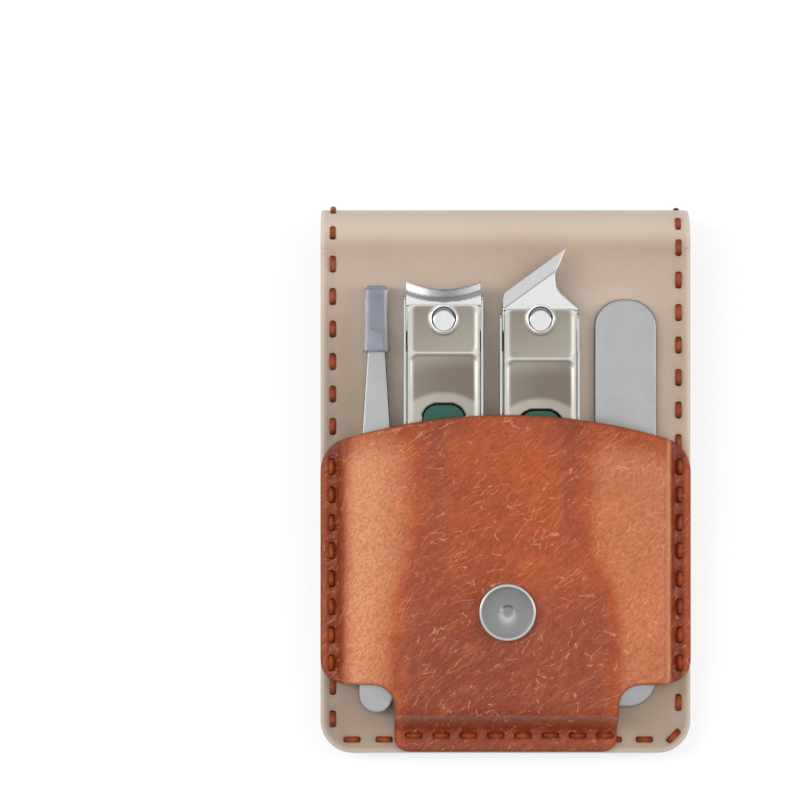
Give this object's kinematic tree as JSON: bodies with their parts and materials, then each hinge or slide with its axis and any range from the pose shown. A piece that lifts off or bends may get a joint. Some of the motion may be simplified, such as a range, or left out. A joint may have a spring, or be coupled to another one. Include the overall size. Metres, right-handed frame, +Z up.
{
  "type": "manicure set case",
  "caption": "Bifold leather manicure case, open with its flap folded back, with a stitched snap pocket that holds tweezers, nail clippers and a nail file.",
  "frame": {"origin": "middle of the object's footprint on the surface that it lies on, which is the face of the flap's lining", "axes": "+X to the right across the case, +Y along the case towards the fold, +Z up, away from the surface"},
  "size_m": [0.074, 0.1092, 0.0235],
  "materials": {
    "leather": "waxed full-grain leather, satin",
    "lining": "smooth matt split leather",
    "board": "raw grey board",
    "thread": "waxed thread",
    "snap_metal": "satin nickel",
    "magnet": "plated magnet",
    "bright_steel": "polished",
    "satin_steel": "satin, bead blasted",
    "lever_steel": "satin, warm grey",
    "grip": "soft matt",
    "clear_cap": "clear moulded"
  },
  "bodies": {
    "back": {"back_leather": "leather", "back_board": "board", "back_lining": "lining", "back_thread": "thread", "pocket_leather": "leather", "pocket_thread": "thread", "snap_disc": "snap_metal", "snap_rivet": "snap_metal", "snap_washer": "snap_metal"},
    "fold_1": {"fold_leather_1": "leather", "fold_lining_1": "lining"},
    "fold_2": {"fold_leather_2": "leather", "fold_lining_2": "lining"},
    "fold_3": {"fold_leather_3": "leather", "fold_lining_3": "lining"},
    "fold_4": {"fold_leather_4": "leather", "fold_lining_4": "lining"},
    "fold_5": {"fold_leather_5": "leather", "fold_lining_5": "lining"},
    "flap": {"flap_leather": "leather", "flap_board": "board", "flap_lining": "lining", "flap_thread": "thread", "magnet_cap": "snap_metal", "magnet": "magnet"},
    "tweezers": {"tweezers_rear_arm": "satin_steel"},
    "tweezers_arm": {"tweezers_front_arm": "satin_steel"},
    "tip_cap": {"tip_cap": "clear_cap"},
    "curved_clipper": {"curved_clipper_catcher": "bright_steel", "curved_clipper_lower_jaw": "bright_steel", "curved_clipper_post": "bright_steel", "curved_clipper_pin": "bright_steel", "curved_clipper_lever": "lever_steel", "curved_clipper_grip": "grip"},
    "curved_jaw": {"curved_clipper_upper_jaw": "bright_steel"},
    "slant_clipper": {"slant_clipper_catcher": "bright_steel", "slant_clipper_lower_jaw": "bright_steel", "slant_clipper_post": "bright_steel", "slant_clipper_pin": "bright_steel", "slant_clipper_lever": "lever_steel", "slant_clipper_grip": "grip"},
    "slant_jaw": {"slant_clipper_upper_jaw": "bright_steel"},
    "nail_file": {"nail_file": "satin_steel"}
  },
  "joints": [
    {"name": "fold_turn_1", "type": "hinge", "parent": "back", "child": "fold_1", "pos_m": [0, 0.04794, 0.01493], "axis": [-1, 0, 0], "range_deg": [-60.87, 0]},
    {"name": "fold_turn_2", "type": "hinge", "parent": "fold_1", "child": "fold_2", "pos_m": [0, 0.05137, 0.01328], "axis": [-1, 0, 0], "range_deg": [-60.87, 0]},
    {"name": "fold_turn_3", "type": "hinge", "parent": "fold_2", "child": "fold_3", "pos_m": [0, 0.05347, 0.0101], "axis": [-1, 0, 0], "range_deg": [-60.87, 0]},
    {"name": "fold_turn_4", "type": "hinge", "parent": "fold_3", "child": "fold_4", "pos_m": [0, 0.05364, 0.0063], "axis": [-1, 0, 0], "range_deg": [-60.87, 0]},
    {"name": "fold_turn_5", "type": "hinge", "parent": "fold_4", "child": "fold_5", "pos_m": [0, 0.05184, 0.00295], "axis": [-1, 0, 0], "range_deg": [-60.87, 0]},
    {"name": "fold_turn_6", "type": "hinge", "parent": "fold_5", "child": "flap", "pos_m": [0, 0.04857, 0.001], "axis": [-1, 0, 0], "range_deg": [-60.87, 0]},
    {"name": "tweezers_slide", "type": "slide", "parent": "back", "child": "tweezers", "axis": [0, 0.9959, 0.0907], "range_m": [0, 0.065]},
    {"name": "curved_clipper_slide", "type": "slide", "parent": "back", "child": "curved_clipper", "axis": [0, 0.9959, 0.0907], "range_m": [0, 0.065]},
    {"name": "slant_clipper_slide", "type": "slide", "parent": "back", "child": "slant_clipper", "axis": [0, 0.9959, 0.0907], "range_m": [0, 0.065]},
    {"name": "nail_file_slide", "type": "slide", "parent": "back", "child": "nail_file", "axis": [0, 0.9959, 0.0907], "range_m": [0, 0.065]},
    {"name": "tip_cap_slide", "type": "slide", "parent": "tweezers", "child": "tip_cap", "axis": [0, 0.9959, 0.0907], "range_m": [0, 0.015]},
    {"name": "tweezers_squeeze", "type": "hinge", "parent": "tweezers", "child": "tweezers_arm", "pos_m": [-0.0258, -0.03267, 0.0114], "axis": [-1, 0, 0], "range_deg": [0, 0.6], "stiffness_Nm_per_rad": 1.5},
    {"name": "curved_jaw_squeeze", "type": "hinge", "parent": "curved_clipper", "child": "curved_jaw", "pos_m": [-0.01245, -0.03662, 0.01064], "axis": [-1, 0, 0], "range_deg": [0, 0.5], "stiffness_Nm_per_rad": 4},
    {"name": "slant_jaw_squeeze", "type": "hinge", "parent": "slant_clipper", "child": "slant_jaw", "pos_m": [0.0067, -0.03662, 0.01064], "axis": [-1, 0, 0], "range_deg": [0, 0.5], "stiffness_Nm_per_rad": 4}
  ]
}
